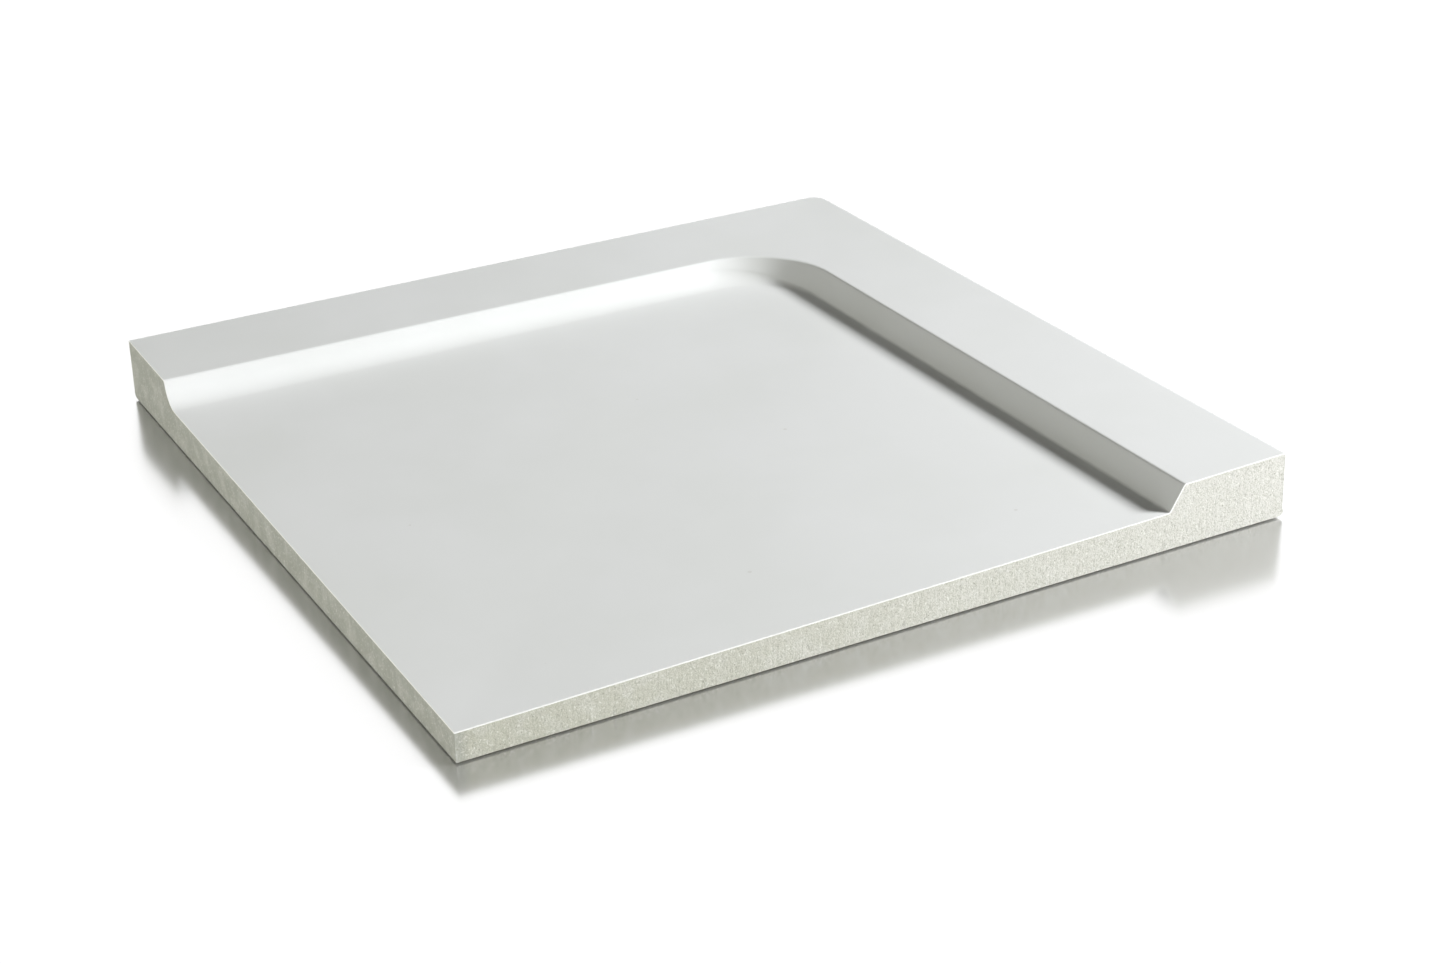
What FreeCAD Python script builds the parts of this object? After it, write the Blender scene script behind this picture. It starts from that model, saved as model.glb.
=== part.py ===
import FreeCAD, Part
import math
import os

# A square corner section sawn out of a low shower tray: a cast stone-resin core
# under a thin white gelcoat skin.  Millimetres, +Z up.
# The origin is the middle of the underside.  The two sawn faces are the -X and -Y
# sides, and the two moulded rims run along +X (the right rim) and +Y (the back rim).

# Overall size
side = 500.0                 # sawn face to outer wall, both ways
height = 40.0                # underside to the rim's outer edge
wall_draft = 1.0             # the outer walls lean in by this much at the top
outer_corner_radius = 10.0   # where the two outer walls meet, seen from above

# Rim and the slopes down to the floor
rim_width = 70.0             # top of both rims, outer edge to slope
rim_fall = 1.5               # the rim tops tip towards the floor by this much
back_slope_run = 4.2         # the back slope is nearly upright
right_slope_run = 9.2        # the right slope lies further over
inner_corner_radius = 57.0   # rim edge where the two slopes meet, seen from above
slope_foot_radius = 57.0     # the same corner at floor level

# Showering floor, which falls from a level edge towards the waste outlet
floor_edge_level = 23.5      # floor height along the foot of both slopes
outlet_level = 17.5          # floor height at the outlet, just past the sawn corner
outlet_offset = 30.0         # how far past each sawn face the outlet lies

# Roundings
rim_outer_radius = 2.0       # rim's outer edge
rim_inner_radius = 2.0       # edge from rim top to slope
back_cove_radius = 14.0      # back slope to floor
right_cove_radius = 2.0      # right slope to floor
base_edge_radius = 4.0       # bottom outer edge

# Skin
skin_thickness = 0.8
skin_foot = 5.0              # the skin stops here, above the round bottom edge

half = side / 2
near = -half - outlet_offset   # both ends of the stock before it is sawn
tolerance = 0.01


def profile(slope_run):
    """Section across one rim, from its bottom outer edge over the top to the outlet."""
    rim_top = half - wall_draft
    rim_edge = rim_top - rim_width
    return [
        (half, 0.0),
        (rim_top, height),
        (rim_edge, height - rim_fall),
        (rim_edge - slope_run, floor_edge_level),
        (near, outlet_level),
    ]


def inset_profile(points, distance):
    """The same section with every surface moved into the material."""
    lines = []
    for (x0, z0), (x1, z1) in zip(points, points[1:]):
        length = math.hypot(x1 - x0, z1 - z0)
        normal = ((z0 - z1) / length, (x1 - x0) / length)
        lines.append((normal, normal[0] * x0 + normal[1] * z0 + distance))
    lines.insert(0, ((0.0, 1.0), 0.0))
    lines.append(((1.0, 0.0), near))
    inset = []
    for ((a0, b0), c0), ((a1, b1), c1) in zip(lines, lines[1:]):
        determinant = a0 * b1 - a1 * b0
        inset.append(((c0 * b1 - c1 * b0) / determinant, (a0 * c1 - a1 * c0) / determinant))
    return inset


def outline(x_wall, y_wall, radius, level):
    """Right line, corner arc and back line of one level curve round the rims."""
    x_arc = x_wall - radius
    y_arc = y_wall - radius
    reach = radius * math.sqrt(0.5)
    right_start = FreeCAD.Vector(x_wall, near, level)
    right_end = FreeCAD.Vector(x_wall, y_arc, level)
    arc_middle = FreeCAD.Vector(x_arc + reach, y_arc + reach, level)
    back_start = FreeCAD.Vector(x_arc, y_wall, level)
    back_end = FreeCAD.Vector(near, y_wall, level)
    right = Part.makeLine(right_start, right_end)
    corner = Part.Arc(right_end, arc_middle, back_start).toShape()
    back = Part.makeLine(back_start, back_end)
    return [right, corner, back]


def polygon(points):
    return Part.Face(Part.makePolygon(points + points[:1]))


def band(lower, upper):
    """Surfaces between two outlines: a flat, the corner's ruled surface, a flat."""
    faces = []
    for first, second in zip(lower, upper):
        if isinstance(first.Curve, Part.Line):
            ends = [first.firstVertex(), first.lastVertex(), second.lastVertex(), second.firstVertex()]
            faces.append(polygon([vertex.Point for vertex in ends]))
        else:
            faces.append(Part.makeRuledSurface(first, second))
    return faces


def floor(edge_outline, outlet):
    """Flats and a conical corner that fall from the foot of the slopes to the outlet."""
    right, corner, back = edge_outline
    faces = [polygon([edge.firstVertex().Point, edge.lastVertex().Point, outlet])
             for edge in (right, back)]
    cone = Part.makeLoft([Part.Wire([corner]), Part.Vertex(outlet)], False, True)
    return faces + cone.Faces


def stock(inset):
    """The section before rounding and sawing, with sharp edges."""
    right_profile = inset_profile(profile(right_slope_run), inset)
    back_profile = inset_profile(profile(back_slope_run), inset)
    radii = [
        outer_corner_radius - inset,
        outer_corner_radius - wall_draft - inset,
        inner_corner_radius + inset,
        slope_foot_radius + inset,
    ]
    outlines = [outline(x, y, radius, level)
                for (x, level), (y, _), radius in zip(right_profile, back_profile, radii)]
    outlet = FreeCAD.Vector(near, near, right_profile[-1][1])
    bottom_corner = FreeCAD.Vector(near, near, 0.0)
    faces = floor(outlines[-1], outlet)
    for lower, upper in zip(outlines, outlines[1:]):
        faces += band(lower, upper)
    right_ends = [lines[0].firstVertex().Point for lines in outlines]
    back_ends = [lines[2].lastVertex().Point for lines in outlines]
    faces.append(polygon([bottom_corner] + right_ends + [outlet]))
    faces.append(polygon([bottom_corner] + back_ends + [outlet]))
    foot = outlines[0]
    closing = [Part.makeLine(back_ends[0], bottom_corner), Part.makeLine(bottom_corner, right_ends[0])]
    faces.append(Part.Face(Part.Wire(foot + closing)))
    shell = Part.makeShell(faces)
    shell.sewShape()
    body = Part.makeSolid(shell)
    if body.Volume < 0:
        body.reverse()
    levels = [level for _, level in right_profile]
    return body, levels


def moulded_edges(body, level, far):
    """The level edges of one outline; far tells the outer walls from the inner slopes."""
    found = []
    for index, edge in enumerate(body.Edges, start=1):
        box = edge.BoundBox
        is_level = abs(box.ZMin - level) < tolerance and abs(box.ZMax - level) < tolerance
        is_sawn_end = box.XMax < near + tolerance or box.YMax < near + tolerance
        is_outer = box.XMax > half - rim_width / 2 or box.YMax > half - rim_width / 2
        if is_level and not is_sawn_end and is_outer == far:
            found.append((index, edge))
    return found


def round_edges(body, levels, inset):
    """Round every moulded edge; the cove eases from one radius to the other at the corner."""
    base_level, rim_outer_level, rim_inner_level, floor_level, _ = levels
    right_cove = right_cove_radius + inset
    back_cove = back_cove_radius + inset
    radii = [(index, base_edge_radius, base_edge_radius)
             for index, _ in moulded_edges(body, base_level, True)]
    radii += [(index, rim_outer_radius - inset, rim_outer_radius - inset)
              for index, _ in moulded_edges(body, rim_outer_level, True)]
    radii += [(index, rim_inner_radius - inset, rim_inner_radius - inset)
              for index, _ in moulded_edges(body, rim_inner_level, False)]
    for index, edge in moulded_edges(body, floor_level, False):
        runs_along_y = edge.BoundBox.XLength < tolerance
        runs_along_x = edge.BoundBox.YLength < tolerance
        starts_right = edge.firstVertex().Point.x > edge.lastVertex().Point.x
        if runs_along_y:
            radii.append((index, right_cove, right_cove))
        elif runs_along_x:
            radii.append((index, back_cove, back_cove))
        elif starts_right:
            radii.append((index, right_cove, back_cove))
        else:
            radii.append((index, back_cove, right_cove))
    document = FreeCAD.newDocument("rounding")
    base = document.addObject("Part::Feature", "base")
    base.Shape = body
    rounded = document.addObject("Part::Fillet", "rounded")
    rounded.Base = base
    rounded.Edges = radii
    document.recompute()
    result = rounded.Shape.copy()
    FreeCAD.closeDocument("rounding")
    return result


def moulding(inset):
    """The sawn section inside the skin; an inset of 0 gives the skin's own outside."""
    body, levels = stock(inset)
    body = round_edges(body, levels, inset)
    sawn_box = Part.makeBox(side, side, height, FreeCAD.Vector(-half, -half, 0.0))
    return body.common(sawn_box)


def gelcoat_skin(outside, inside):
    """Everything between the two mouldings, above the skin's foot."""
    above_foot = Part.makeBox(side, side, height, FreeCAD.Vector(-half, -half, skin_foot))
    return outside.cut(inside).common(above_foot)


def export(shape, name):
    solids = shape.Solids
    if len(solids) != 1 or not solids[0].isValid():
        raise RuntimeError(f"{name}: {len(solids)} solids, or one that isn't valid")
    solid = solids[0]
    solid.exportStep(f"parts/{name}.step")
    print(f"{name}: {solid.Volume / 1000:.1f} cm3, {len(solid.Faces)} faces")


os.makedirs("parts", exist_ok=True)
outside = moulding(0.0)
inside = moulding(skin_thickness)
skin = gelcoat_skin(outside, inside)
core = outside.cut(skin)
export(core, "stone_resin_core")
export(skin, "gelcoat_skin")
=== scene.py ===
import math

import bmesh
import bpy
import numpy as np
from mathutils import Matrix, Vector
from mathutils.geometry import delaunay_2d_cdt


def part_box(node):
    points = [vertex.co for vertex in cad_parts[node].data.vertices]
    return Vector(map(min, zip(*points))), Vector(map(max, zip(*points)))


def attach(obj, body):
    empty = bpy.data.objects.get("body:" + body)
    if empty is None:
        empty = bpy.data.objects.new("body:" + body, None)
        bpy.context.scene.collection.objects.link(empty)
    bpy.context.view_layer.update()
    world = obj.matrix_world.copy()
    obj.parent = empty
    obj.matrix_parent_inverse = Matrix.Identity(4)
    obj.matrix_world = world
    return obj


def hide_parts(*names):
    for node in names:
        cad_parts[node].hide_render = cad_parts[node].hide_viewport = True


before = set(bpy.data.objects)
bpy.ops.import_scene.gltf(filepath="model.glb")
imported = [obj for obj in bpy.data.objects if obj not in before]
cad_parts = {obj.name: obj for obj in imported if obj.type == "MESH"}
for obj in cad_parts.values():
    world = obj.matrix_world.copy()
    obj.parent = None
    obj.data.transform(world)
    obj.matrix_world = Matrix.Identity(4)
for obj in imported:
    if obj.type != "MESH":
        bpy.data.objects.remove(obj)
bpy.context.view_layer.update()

# A corner section sawn out of a low shower tray: white gelcoat over cast stone resin.
# Metres, in the frame of the CAD model.  The sawn faces are the -X and -Y sides.

MM = 0.001

# Sizes read from the frame
core_low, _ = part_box("stone_resin_core")
skin_low, skin_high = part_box("gelcoat_skin")
HALF = -core_low.x
HEIGHT = skin_high.z
SKIN_FOOT = skin_low.z

# Sizes that the frame's boxes don't give
WALL_DRAFT = 1.0 * MM
OUTER_CORNER_RADIUS = 10.0 * MM
RIM_WIDTH = 70.0 * MM
RIM_FALL = 1.5 * MM
BACK_SLOPE_RUN = 4.2 * MM
RIGHT_SLOPE_RUN = 9.2 * MM
INNER_CORNER_RADIUS = 57.0 * MM
SLOPE_FOOT_RADIUS = 57.0 * MM
FLOOR_EDGE_LEVEL = 23.5 * MM
OUTLET_LEVEL = 17.5 * MM
OUTLET_OFFSET = 30.0 * MM
RIM_EDGE_RADIUS = 2.0 * MM
BACK_COVE_RADIUS = 14.0 * MM
RIGHT_COVE_RADIUS = 2.0 * MM
BASE_EDGE_RADIUS = 4.0 * MM
SKIN_THICKNESS = 0.8 * MM
SAWN_LIFT = 1.1 * MM         # the underside stands this much clear along the sawn edges
SAWN_LIFT_RUN = 25.0 * MM    # and meets its own level this far in

# Places worked out from the sizes
OUTLET = -HALF - OUTLET_OFFSET
RIM_TOP = HALF - WALL_DRAFT
RIM_EDGE = RIM_TOP - RIM_WIDTH
WALL_FOOT = HALF - WALL_DRAFT * SKIN_FOOT / HEIGHT
OUTER_CENTRE = HALF - OUTER_CORNER_RADIUS
INNER_CENTRE = RIM_EDGE - INNER_CORNER_RADIUS
FOOT_CENTRE = RIM_EDGE - (RIGHT_SLOPE_RUN + BACK_SLOPE_RUN) / 2 - SLOPE_FOOT_RADIUS

# Mesh fineness: steps across a section, along the rims and on a sawn face
MOULDED_ARC_STEPS = [10, 8, 16]      # rim's outer edge, rim's inner edge, cove
WALL_STEPS = 12
RIM_STEPS = 66
SLOPE_STEPS = 10
FLOOR_STEPS = 380
BASE_ARC_STEPS = [8]
BARE_WALL_STEPS = 2
UNDERSIDE_STEPS = 300
PATH_STEPS = 24                      # along each straight rim
CORNER_STEPS = 32                    # round the corner
GRAIN_PITCH = 0.9 * MM               # between points on a sawn face
WELD_DISTANCE = 0.002 * MM
SHARP_ANGLE = math.radians(35.0)
LATTICE_SIZE = 64                    # cells each way before the mesh noise repeats


# ---------------------------------------------------------------- shapes

def smoothstep(t):
    return t * t * (3.0 - 2.0 * t)


def lattice_noise(points, pitch, seed):
    """Smooth seeded noise from -1 to 1 whose features are about one pitch across."""
    table = np.random.default_rng(seed).uniform(-1.0, 1.0, (LATTICE_SIZE,) * 3)
    scaled = np.asarray(points) / pitch
    cell = np.floor(scaled).astype(int)
    part = smoothstep(scaled - cell)
    total = np.zeros(len(scaled))
    for corner in np.ndindex(2, 2, 2):
        index = (cell + corner) % LATTICE_SIZE
        weight = np.where(np.array(corner) == 1, part, 1.0 - part).prod(axis=1)
        total += weight * table[index[:, 0], index[:, 1], index[:, 2]]
    return total


def unit(vector):
    return vector / np.linalg.norm(vector)


def rounded_section(corners, radii, arc_steps, run_steps):
    """Points along a line of corners, with an arc of the given radius at each inner one."""
    corners = [np.array(corner, float) for corner in corners]
    pieces = []
    start = corners[0]
    for k, corner in enumerate(corners[1:-1]):
        before = unit(corners[k] - corner)
        after = unit(corners[k + 2] - corner)
        half_angle = math.acos(float(before @ after)) / 2
        setback = radii[k] / math.tan(half_angle)
        centre = corner + unit(before + after) * radii[k] / math.sin(half_angle)
        first = corner + before * setback
        last = corner + after * setback
        turn = math.pi - 2 * half_angle
        pieces.append(np.linspace(start, first, run_steps[k], endpoint=False))
        t = np.linspace(0.0, 1.0, arc_steps[k], endpoint=False)[:, None]
        spread = np.sin((1 - t) * turn) * (first - centre) + np.sin(t * turn) * (last - centre)
        pieces.append(centre + spread / math.sin(turn))
        start = last
    pieces.append(np.linspace(start, corners[-1], run_steps[-1] + 1))
    return np.concatenate(pieces)


def moulded_section(slope_run, cove_radius):
    """Across a rim from the skin's foot, over the top and down to the sawn corner."""
    slope_foot = RIM_EDGE - slope_run
    floor_rise = (FLOOR_EDGE_LEVEL - OUTLET_LEVEL) / (slope_foot - OUTLET)
    sawn_level = OUTLET_LEVEL + floor_rise * OUTLET_OFFSET
    corners = [
        (WALL_FOOT, SKIN_FOOT),
        (RIM_TOP, HEIGHT),
        (RIM_EDGE, HEIGHT - RIM_FALL),
        (slope_foot, FLOOR_EDGE_LEVEL),
        (-HALF, sawn_level),
    ]
    radii = [RIM_EDGE_RADIUS, RIM_EDGE_RADIUS, cove_radius]
    run_steps = [WALL_STEPS, RIM_STEPS, SLOPE_STEPS, FLOOR_STEPS]
    return rounded_section(corners, radii, MOULDED_ARC_STEPS, run_steps)


def base_section():
    """Down the bare wall under the skin, round the bottom edge and in under the core."""
    corners = [(WALL_FOOT, SKIN_FOOT), (HALF, 0.0), (-HALF, 0.0)]
    run_steps = [BARE_WALL_STEPS, UNDERSIDE_STEPS]
    return rounded_section(corners, [BASE_EDGE_RADIUS], BASE_ARC_STEPS, run_steps)


def inset(section, distance):
    """The section moved into the material, which lies to the left of its direction."""
    tangent = np.gradient(section, axis=0)
    tangent /= np.linalg.norm(tangent, axis=1)[:, None]
    inward = np.column_stack([-tangent[:, 1], tangent[:, 0]])
    moved = section + inward * distance
    moved[0, 1] = section[0, 1]
    moved[-1, 0] = section[-1, 0]
    return moved


def moulded_centres(section):
    """Where each point's corner arc is centred: outer wall, then rim, slope and floor."""
    cove_end = section[-1 - FLOOR_STEPS, 0]
    return np.interp(
        section[:, 0],
        [OUTLET, cove_end, RIM_EDGE, RIM_TOP, HALF],
        [OUTLET, FOOT_CENTRE, INNER_CENTRE, OUTER_CENTRE, OUTER_CENTRE],
    )


def base_centres(section):
    """The same for the base: the underside's arcs shrink to a point at the sawn corner."""
    return np.interp(
        section[:, 0],
        [-HALF, HALF - BASE_EDGE_RADIUS, HALF],
        [-HALF, OUTER_CENTRE, OUTER_CENTRE],
    )


def sweep(right, back, right_centre, back_centre):
    """Carry the sections along the right rim, round the corner and along the back rim."""
    t = np.linspace(0.0, 1.0, PATH_STEPS, endpoint=False)
    angle = np.linspace(0.0, math.pi / 2, CORNER_STEPS + 1)
    cx = right_centre[:, None]
    cy = back_centre[:, None]
    x_wall = right[:, :1]
    y_wall = back[:, :1]
    right_x = np.repeat(x_wall, PATH_STEPS, axis=1)
    right_y = -HALF + (cy + HALF) * t
    arc_x = cx + (x_wall - cx) * np.cos(angle)
    arc_y = cy + (y_wall - cy) * np.sin(angle)
    back_x = (-HALF + (cx + HALF) * t)[:, ::-1]
    back_y = np.repeat(y_wall, PATH_STEPS, axis=1)
    x = np.maximum(np.concatenate([right_x, arc_x, back_x], axis=1), -HALF)
    y = np.maximum(np.concatenate([right_y, arc_y, back_y], axis=1), -HALF)
    ease = smoothstep(np.linspace(0.0, 1.0, CORNER_STEPS + 1))
    along = np.concatenate([np.zeros(PATH_STEPS), ease, np.ones(PATH_STEPS)])
    z = right[:, 1:] * (1.0 - along) + back[:, 1:] * along
    return np.stack([x, y, z], axis=2)


def grid_faces(rows, columns, first=0):
    """Quads of a rows x columns grid of vertices numbered row by row."""
    i, j = np.meshgrid(np.arange(rows - 1), np.arange(columns - 1), indexing="ij")
    corner = (first + i * columns + j).ravel()
    return np.column_stack([corner, corner + 1, corner + columns + 1, corner + columns])


def make_piece(name, vertices, faces, material):
    """A closed mesh with welded seams, outward faces and sharp arrises."""
    mesh = bpy.data.meshes.new(name)
    mesh.from_pydata(vertices.tolist(), [], [list(map(int, face)) for face in faces])
    work = bmesh.new()
    work.from_mesh(mesh)
    bmesh.ops.remove_doubles(work, verts=work.verts, dist=WELD_DISTANCE)
    bmesh.ops.dissolve_degenerate(work, edges=work.edges, dist=WELD_DISTANCE)
    bmesh.ops.recalc_face_normals(work, faces=work.faces)
    for face in work.faces:
        face.smooth = True
    work.to_mesh(mesh)
    work.free()
    mesh.set_sharp_from_angle(angle=SHARP_ANGLE)
    mesh.materials.append(material)
    piece = bpy.data.objects.new(name, mesh)
    bpy.context.scene.collection.objects.link(piece)
    return piece


def skin_surfaces():
    """The skin's outside and inside, as grids of points."""
    right = moulded_section(RIGHT_SLOPE_RUN, RIGHT_COVE_RADIUS)
    back = moulded_section(BACK_SLOPE_RUN, BACK_COVE_RADIUS)
    centres = (moulded_centres(right), moulded_centres(back))
    outside = sweep(right, back, *centres)
    inside = sweep(inset(right, SKIN_THICKNESS), inset(back, SKIN_THICKNESS), *centres)
    return outside, inside


def build_skin(outside, inside, material):
    """The gelcoat shell: its outside, its inside, its foot and its two sawn edges."""
    rows, columns, _ = outside.shape
    shift = rows * columns
    path = np.arange(columns - 1)
    ring = np.arange(rows - 1) * columns
    faces = [
        grid_faces(rows, columns),
        grid_faces(rows, columns, shift)[:, ::-1],
        np.column_stack([path, path + shift, path + 1 + shift, path + 1]),
    ]
    for end in (0, columns - 1):
        edge = ring + end
        faces.append(np.column_stack([edge, edge + columns, edge + columns + shift, edge + shift]))
    vertices = np.concatenate([outside.reshape(-1, 3), inside.reshape(-1, 3)])
    return make_piece("gelcoat_shell", vertices, np.concatenate(faces), material)


def points_inside(outline, points, margin):
    """Which points lie inside a closed outline, and at least a margin from it."""
    x, y = points[:, 0], points[:, 1]
    inside = np.zeros(len(points), bool)
    near_edge = np.zeros(len(points), bool)
    shortest = 1e-18
    for a, b in zip(outline, np.roll(outline, -1, axis=0)):
        run = b - a
        if run[1] != 0.0:
            crosses = (a[1] > y) != (b[1] > y)
            inside ^= crosses & (x < a[0] + (y - a[1]) * run[0] / run[1])
        t = np.clip(((points - a) @ run) / max(float(run @ run), shortest), 0.0, 1.0)
        near_edge |= np.linalg.norm(points - a - t[:, None] * run, axis=1) < margin
    return inside & ~near_edge


def sawn_relief(points, seed):
    """How deep a sawn face lies under its plane: grain, gentle waves and torn-out pits."""
    grain = np.abs(lattice_noise(points, 1.3 * MM, seed)) * 0.10 * MM
    waves = (lattice_noise(points, 14.0 * MM, seed + 1) + 1.0) * 0.05 * MM
    pits = np.clip(lattice_noise(points, 2.6 * MM, seed + 2) - 0.55, 0.0, None) * 0.9 * MM
    return grain + waves + pits


def scattered_points(outline, seed):
    """Points all over the inside of an outline, each a little off a square lattice."""
    low = outline.min(axis=0)
    high = outline.max(axis=0)
    columns = np.arange(low[0], high[0], GRAIN_PITCH)
    rows = np.arange(low[1], high[1], GRAIN_PITCH)
    lattice = np.stack(np.meshgrid(columns, rows, indexing="ij"), axis=2).reshape(-1, 2)
    lattice += np.random.default_rng(seed).uniform(-0.3, 0.3, lattice.shape) * GRAIN_PITCH
    return lattice[points_inside(outline, lattice, 0.35 * GRAIN_PITCH)]


def sawn_face(edge, axis, seed):
    """Fill the closed edge of a sawn face with rough material; edge points stay put."""
    across = 1 - axis
    outline = edge[:, [across, 2]]
    count = len(outline)
    corners = [Vector(point) for point in (*outline, *scattered_points(outline, seed))]
    loop = [(k, (k + 1) % count) for k in range(count)]
    inside_only, merge_distance = 1, 1e-9
    flat, _, faces, origins, _, _ = delaunay_2d_cdt(corners, loop, [], inside_only, merge_distance)
    placed = np.zeros((len(flat), 3))
    placed[:, [across, 2]] = [tuple(point) for point in flat]
    placed[:, axis] = -HALF
    on_edge = np.array([any(origin < count for origin in merged) for merged in origins])
    placed[:, axis] += np.where(on_edge, 0.0, sawn_relief(placed, seed))
    return placed, faces


def lift_underside(grid):
    """Raise the underside towards both sawn edges, which leaves a dark gap under them."""
    from_edge = np.minimum(grid[:, :, 0], grid[:, :, 1]) + HALF
    ease = np.clip(1.0 - from_edge / SAWN_LIFT_RUN, 0.0, 1.0) ** 2
    low = np.clip(1.0 - grid[:, :, 2] / BASE_EDGE_RADIUS, 0.0, 1.0)
    grid[:, :, 2] += SAWN_LIFT * ease * low


def build_core(under_skin, material):
    """The cast core: what the skin covers, the bare base and the two sawn faces."""
    base = base_section()
    centres = base_centres(base)
    base_grid = sweep(base, base, centres, centres)
    lift_underside(base_grid)
    grid = np.concatenate([under_skin[::-1], base_grid])
    rows, columns, _ = grid.shape
    vertices = [grid.reshape(-1, 3)]
    faces = grid_faces(rows, columns).tolist()
    offset = rows * columns
    for column, axis, seed in ((0, 1, 11), (columns - 1, 0, 23)):
        points, face_list = sawn_face(grid[:, column], axis, seed)
        vertices.append(points)
        faces += [[index + offset for index in face] for face in face_list]
        offset += len(points)
    return make_piece("cast_core", np.concatenate(vertices), faces, material)


# ---------------------------------------------------------------- materials

class Nodes:
    """Short spellings for the nodes of one material."""

    def __init__(self, name):
        self.material = bpy.data.materials.new(name)
        self.material.use_nodes = True
        self.tree = self.material.node_tree
        self.shader = self.tree.nodes["Principled BSDF"]
        self.position = self.tree.nodes.new("ShaderNodeTexCoord").outputs["Object"]

    def feed(self, value, socket):
        if isinstance(value, bpy.types.NodeSocket):
            self.tree.links.new(value, socket)
        else:
            socket.default_value = value

    def stretched(self, factors):
        node = self.tree.nodes.new("ShaderNodeVectorMath")
        node.operation = "MULTIPLY"
        self.feed(self.position, node.inputs[0])
        node.inputs[1].default_value = factors
        return node.outputs[0]

    def noise(self, feature, detail=2.0, vector=None):
        """Values from 0 to 1 in blotches about one feature across."""
        node = self.tree.nodes.new("ShaderNodeTexNoise")
        node.inputs["Scale"].default_value = 1.0 / feature
        node.inputs["Detail"].default_value = detail
        self.feed(vector or self.position, node.inputs["Vector"])
        return node.outputs["Fac"]

    def grains(self, spacing):
        """Each grain's own random value, and the distance from its middle."""
        node = self.tree.nodes.new("ShaderNodeTexVoronoi")
        node.inputs["Scale"].default_value = 1.0 / spacing
        self.feed(self.position, node.inputs["Vector"])
        value = self.tree.nodes.new("ShaderNodeSeparateColor")
        self.feed(node.outputs["Color"], value.inputs["Color"])
        return value.outputs["Red"], node.outputs["Distance"]

    def axis(self, name):
        node = self.tree.nodes.new("ShaderNodeSeparateXYZ")
        self.feed(self.position, node.inputs[0])
        return node.outputs[name]

    def ramp(self, value, low, high, to_low=0.0, to_high=1.0):
        """Maps low..high to to_low..to_high and holds still outside."""
        node = self.tree.nodes.new("ShaderNodeMapRange")
        for socket, number in zip(node.inputs, (value, low, high, to_low, to_high)):
            self.feed(number, socket)
        return node.outputs["Result"]

    def math(self, operation, a, b):
        node = self.tree.nodes.new("ShaderNodeMath")
        node.operation = operation
        self.feed(a, node.inputs[0])
        self.feed(b, node.inputs[1])
        return node.outputs[0]

    def mix(self, factor, a, b):
        node = self.tree.nodes.new("ShaderNodeMix")
        node.data_type = "RGBA"
        self.feed(factor, node.inputs["Factor"])
        for value, socket in ((a, node.inputs[6]), (b, node.inputs[7])):
            self.feed((*value, 1.0) if isinstance(value, tuple) else value, socket)
        return node.outputs[2]

    def bump(self, height, distance, under=None):
        node = self.tree.nodes.new("ShaderNodeBump")
        node.inputs["Distance"].default_value = distance
        self.feed(height, node.inputs["Height"])
        if under:
            self.feed(under, node.inputs["Normal"])
        return node.outputs["Normal"]

    def dots(self, spacing, share, size):
        """1 inside round dots, in this share of the cells; the size is a radius in cells."""
        value, distance = self.grains(spacing)
        chosen = self.math("GREATER_THAN", value, 1.0 - share)
        return self.math("MULTIPLY", chosen, self.math("LESS_THAN", distance, size))

    def on_cut_edge(self, axis):
        """1 on a sawn plane and 0 from a quarter of a millimetre inside it."""
        return self.ramp(self.axis(axis), -HALF + 0.15 * MM, -HALF + 0.25 * MM, 1.0, 0.0)


def gelcoat_colour(n, cut):
    """Two near whites in wide clouds, a few dust specks, and a whiter cut edge."""
    clouds = n.ramp(n.noise(90.0 * MM, 3.0), 0.35, 0.65)
    white = n.mix(clouds, (0.845, 0.855, 0.850), (0.870, 0.878, 0.880))
    dusty_from = 0.72                    # cells with a higher value hold a speck
    value, distance = n.grains(26.0 * MM)
    chosen = n.math("GREATER_THAN", value, dusty_from)
    size = n.ramp(value, dusty_from, 1.0, 0.020, 0.055)
    dust = n.math("MULTIPLY", chosen, n.math("LESS_THAN", distance, size))
    dusty = n.mix(n.math("MULTIPLY", dust, 0.22), white, (0.50, 0.48, 0.43))
    return n.mix(cut, dusty, (0.90, 0.90, 0.88))


def gelcoat_roughness(n, cut):
    """Satin with scuffs and fine scratches along Y, and nearly matt where it is cut."""
    satin = n.ramp(n.noise(35.0 * MM, 6.0), 0.3, 0.7, 0.56, 0.66)
    scratches = n.noise(0.7 * MM, 2.0, n.stretched((1.0, 0.04, 1.0)))
    rubbed = n.math("ADD", satin, n.ramp(scratches, 0.3, 0.7, -0.02, 0.03))
    return n.math("MAXIMUM", rubbed, n.math("MULTIPLY", cut, 0.7))


def gelcoat_material():
    """Satin white gelcoat with faint orange peel over very slight waves."""
    n = Nodes("gelcoat")
    cut = n.math("MAXIMUM", n.on_cut_edge("X"), n.on_cut_edge("Y"))
    n.feed(gelcoat_colour(n, cut), n.shader.inputs["Base Color"])
    n.feed(gelcoat_roughness(n, cut), n.shader.inputs["Roughness"])
    n.shader.inputs["Specular IOR Level"].default_value = 0.1
    peel = n.bump(n.noise(3.5 * MM, 2.0), 0.02 * MM)
    waves = n.bump(n.noise(60.0 * MM, 1.0), 0.15 * MM, peel)
    n.feed(waves, n.shader.inputs["Normal"])
    return n.material


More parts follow.
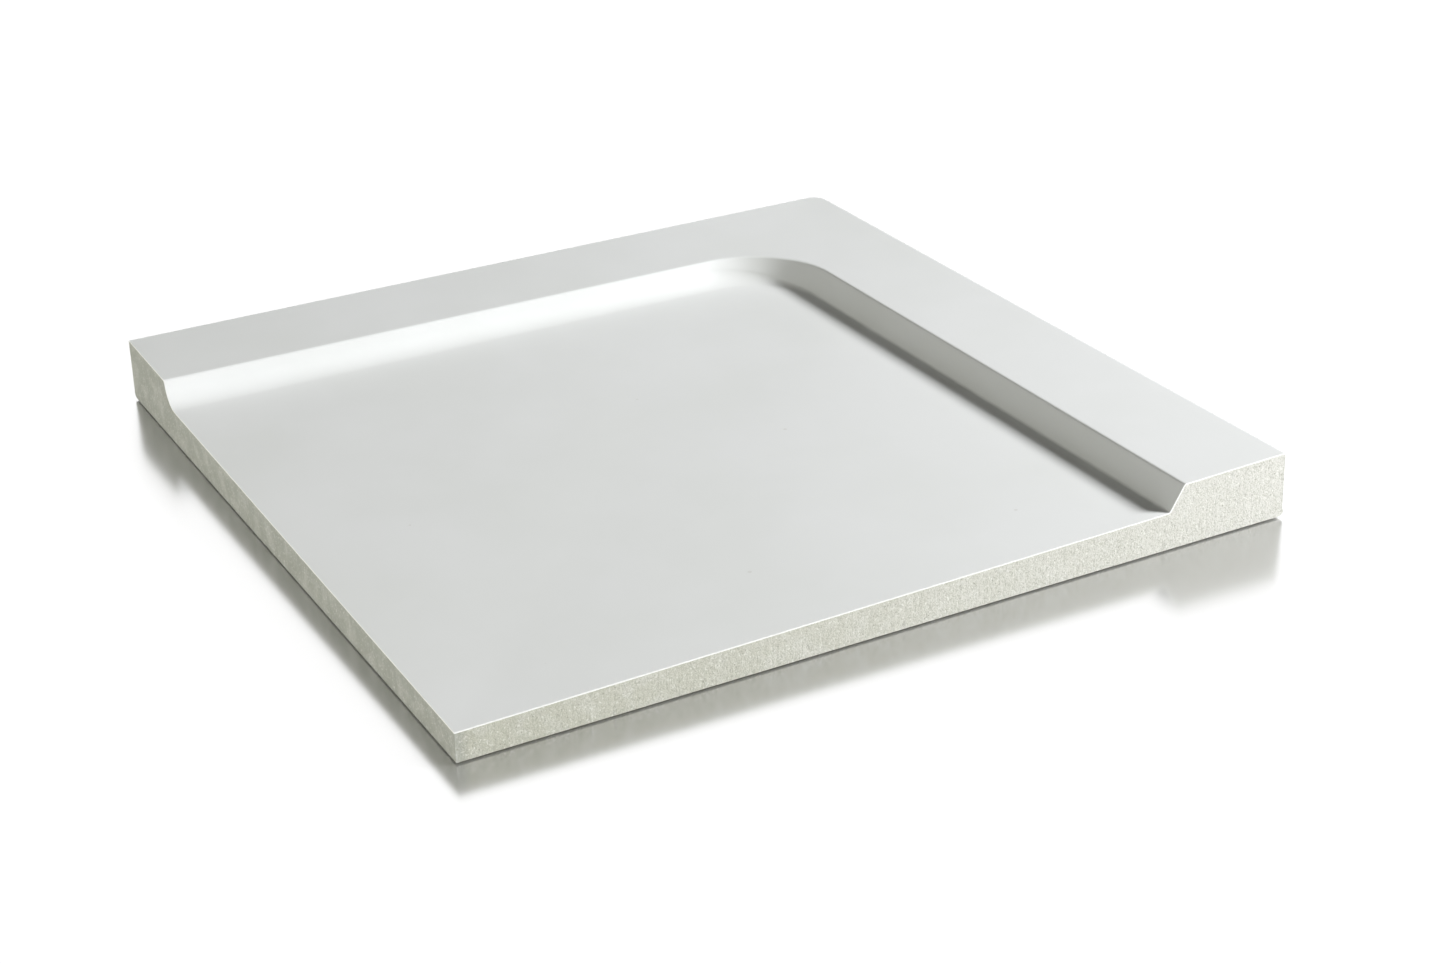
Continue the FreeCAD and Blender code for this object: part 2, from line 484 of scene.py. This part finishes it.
def casting_colour_with_painted_shade(n):
    """Painted falloff of light: darker, greener grey at -X to lighter, warm grey at +X. Painted shade
    darkens the left sawn face. Pale clouds over both.
    """
    # painted light: the grey darkens towards -X, away from the key light at +X
    across = n.ramp(n.axis("X"), -HALF, HALF)
    cast = n.mix(across, (0.485, 0.485, 0.405), (0.650, 0.644, 0.602))
    # painted shade on the left sawn face and the core just inside it, which face away from the key light
    painted_shade_left_face = n.ramp(n.axis("X"), -HALF + 0.6 * MM, -HALF + 8.0 * MM, 1.0, 0.0)
    body = n.mix(painted_shade_left_face, cast, (0.375, 0.380, 0.340))
    clouds = n.ramp(n.noise(11.0 * MM, 4.0), 0.46, 0.64, 0.0, 0.30)
    return n.mix(clouds, body, (0.66, 0.66, 0.62))


def stone_resin_material():
    """Sand and marble grit in cast resin, with dark and rusty specks and saw marks."""
    n = Nodes("stone_resin")
    sand = n.noise(0.8 * MM, 3.0)
    grit, _ = n.grains(0.9 * MM)
    streaks = n.noise(1.6 * MM, 2.0, n.stretched((1.0, 1.0, 0.06)))
    dark_specks = n.dots(2.2 * MM, share=0.28, size=0.22)
    rust_specks = n.dots(24.0 * MM, share=0.15, size=0.035)
    # the casting colour holds painted shade, darker towards -X and on the left sawn face
    sanded = n.mix(n.ramp(sand, 0.38, 0.52, 0.50, 0.0), casting_colour_with_painted_shade(n), (0.36, 0.37, 0.30))
    gritted = n.mix(n.ramp(grit, 0.84, 0.98, 0.0, 0.34), sanded, (0.84, 0.84, 0.80))
    specked = n.mix(n.math("MULTIPLY", dark_specks, 0.45), gritted, (0.22, 0.22, 0.17))
    stained = n.mix(n.math("MULTIPLY", rust_specks, 0.7), specked, (0.55, 0.30, 0.14))
    sawn = n.mix(n.ramp(streaks, 0.56, 0.70, 0.0, 0.10), stained, (0.80, 0.80, 0.75))
    n.feed(sawn, n.shader.inputs["Base Color"])
    n.feed(n.ramp(grit, 0.0, 1.0, 0.92, 0.62), n.shader.inputs["Roughness"])
    n.shader.inputs["Specular IOR Level"].default_value = 0.3
    n.feed(n.bump(streaks, 0.12 * MM, n.bump(sand, 0.25 * MM)), n.shader.inputs["Normal"])
    return n.material


skin_outside, skin_inside = skin_surfaces()
shell = build_skin(skin_outside, skin_inside, gelcoat_material())
core = build_core(skin_inside, stone_resin_material())
for piece, node, slot in ((shell, "gelcoat_skin", "gelcoat"), (core, "stone_resin_core", "stone_resin")):
    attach(piece, "root")
    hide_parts(node)


# ---------------------------------------------------------------- stage

def floor_material():
    """Polished pale acrylic: a matt grey body under a mirror-like surface."""
    mirror_share = 0.54
    material = bpy.data.materials.new("studio_floor")
    material.use_nodes = True
    nodes = material.node_tree.nodes
    links = material.node_tree.links
    nodes.clear()
    output = nodes.new("ShaderNodeOutputMaterial")
    blend = nodes.new("ShaderNodeMixShader")
    matt = nodes.new("ShaderNodeBsdfDiffuse")
    mirror = nodes.new("ShaderNodeBsdfGlossy")
    matt.inputs["Color"].default_value = (0.2, 0.2, 0.2, 1.0)
    mirror.inputs["Color"].default_value = (1.0, 1.0, 1.0, 1.0)
    mirror.inputs["Roughness"].default_value = 0.20
    blend.inputs["Fac"].default_value = mirror_share
    links.new(matt.outputs["BSDF"], blend.inputs[1])
    links.new(mirror.outputs["BSDF"], blend.inputs[2])
    links.new(blend.outputs["Shader"], output.inputs["Surface"])
    return material


def build_floor():
    """A level sheet that the object lies on, far wider than the view."""
    reach = 6.0
    corners = [(-reach, -reach, 0), (reach, -reach, 0), (reach, reach, 0), (-reach, reach, 0)]
    mesh = bpy.data.meshes.new("studio_floor")
    mesh.from_pydata(corners, [], [(0, 1, 2, 3)])
    mesh.materials.append(floor_material())
    floor = bpy.data.objects.new("studio_floor", mesh)
    bpy.context.scene.collection.objects.link(floor)


def direction(azimuth, elevation):
    """Unit vector from the object; azimuth 0 is -Y and 90 is +X, in degrees."""
    az = math.radians(azimuth)
    el = math.radians(elevation)
    return Vector((math.sin(az) * math.cos(el), -math.cos(az) * math.cos(el), math.sin(el)))


def area_light(name, azimuth, elevation, distance, size, power, colour):
    """A soft box that faces the middle of the object."""
    data = bpy.data.lights.new(name, "AREA")
    data.shape = "RECTANGLE"
    data.size, data.size_y = size
    data.energy = power
    data.color = colour
    light = bpy.data.objects.new(name, data)
    bpy.context.scene.collection.objects.link(light)
    towards = direction(azimuth, elevation)
    light.location = towards * distance
    light.rotation_euler = towards.to_track_quat("Z", "Y").to_euler()


def build_world():
    """A white surround that only reflections see, so that it doesn't flatten the shading."""
    world = bpy.data.worlds.new("studio")
    world.use_nodes = True
    background = world.node_tree.nodes["Background"]
    background.inputs["Color"].default_value = (1.0, 1.0, 1.0, 1.0)
    background.inputs["Strength"].default_value = 1.84
    world.cycles_visibility.diffuse = False
    bpy.context.scene.world = world


def build_camera():
    """In front and to the left, looking down past the near corner to just short of the middle."""
    roll = math.radians(-1.355)
    distance = 1.477
    target = Vector((6.0 * MM, -47.4 * MM, 0.0))
    backwards = direction(-28.42, 25.88)
    level = backwards.to_track_quat("Z", "Y").to_matrix()
    turned = (level @ Matrix.Rotation(roll, 3, "Z")).to_4x4()
    data = bpy.data.cameras.new("camera")
    data.sensor_width = 36.0
    data.lens = 63.67
    camera = bpy.data.objects.new("camera", data)
    bpy.context.scene.collection.objects.link(camera)
    camera.matrix_world = Matrix.Translation(target + backwards * distance) @ turned
    bpy.context.scene.camera = camera


build_floor()
area_light("key", 62.0, 30.0, 3.2, size=(0.70, 0.60), power=142.0, colour=(0.99, 1.0, 1.0))
area_light("low", -42.0, 6.0, 2.6, size=(0.90, 0.30), power=5.0, colour=(0.98, 0.99, 1.0))
area_light("fill", -90.0, 20.0, 2.0, size=(1.50, 0.70), power=10.8, colour=(1.0, 1.0, 0.86))
build_world()
build_camera()
bpy.context.scene.view_settings.view_transform = "Standard"
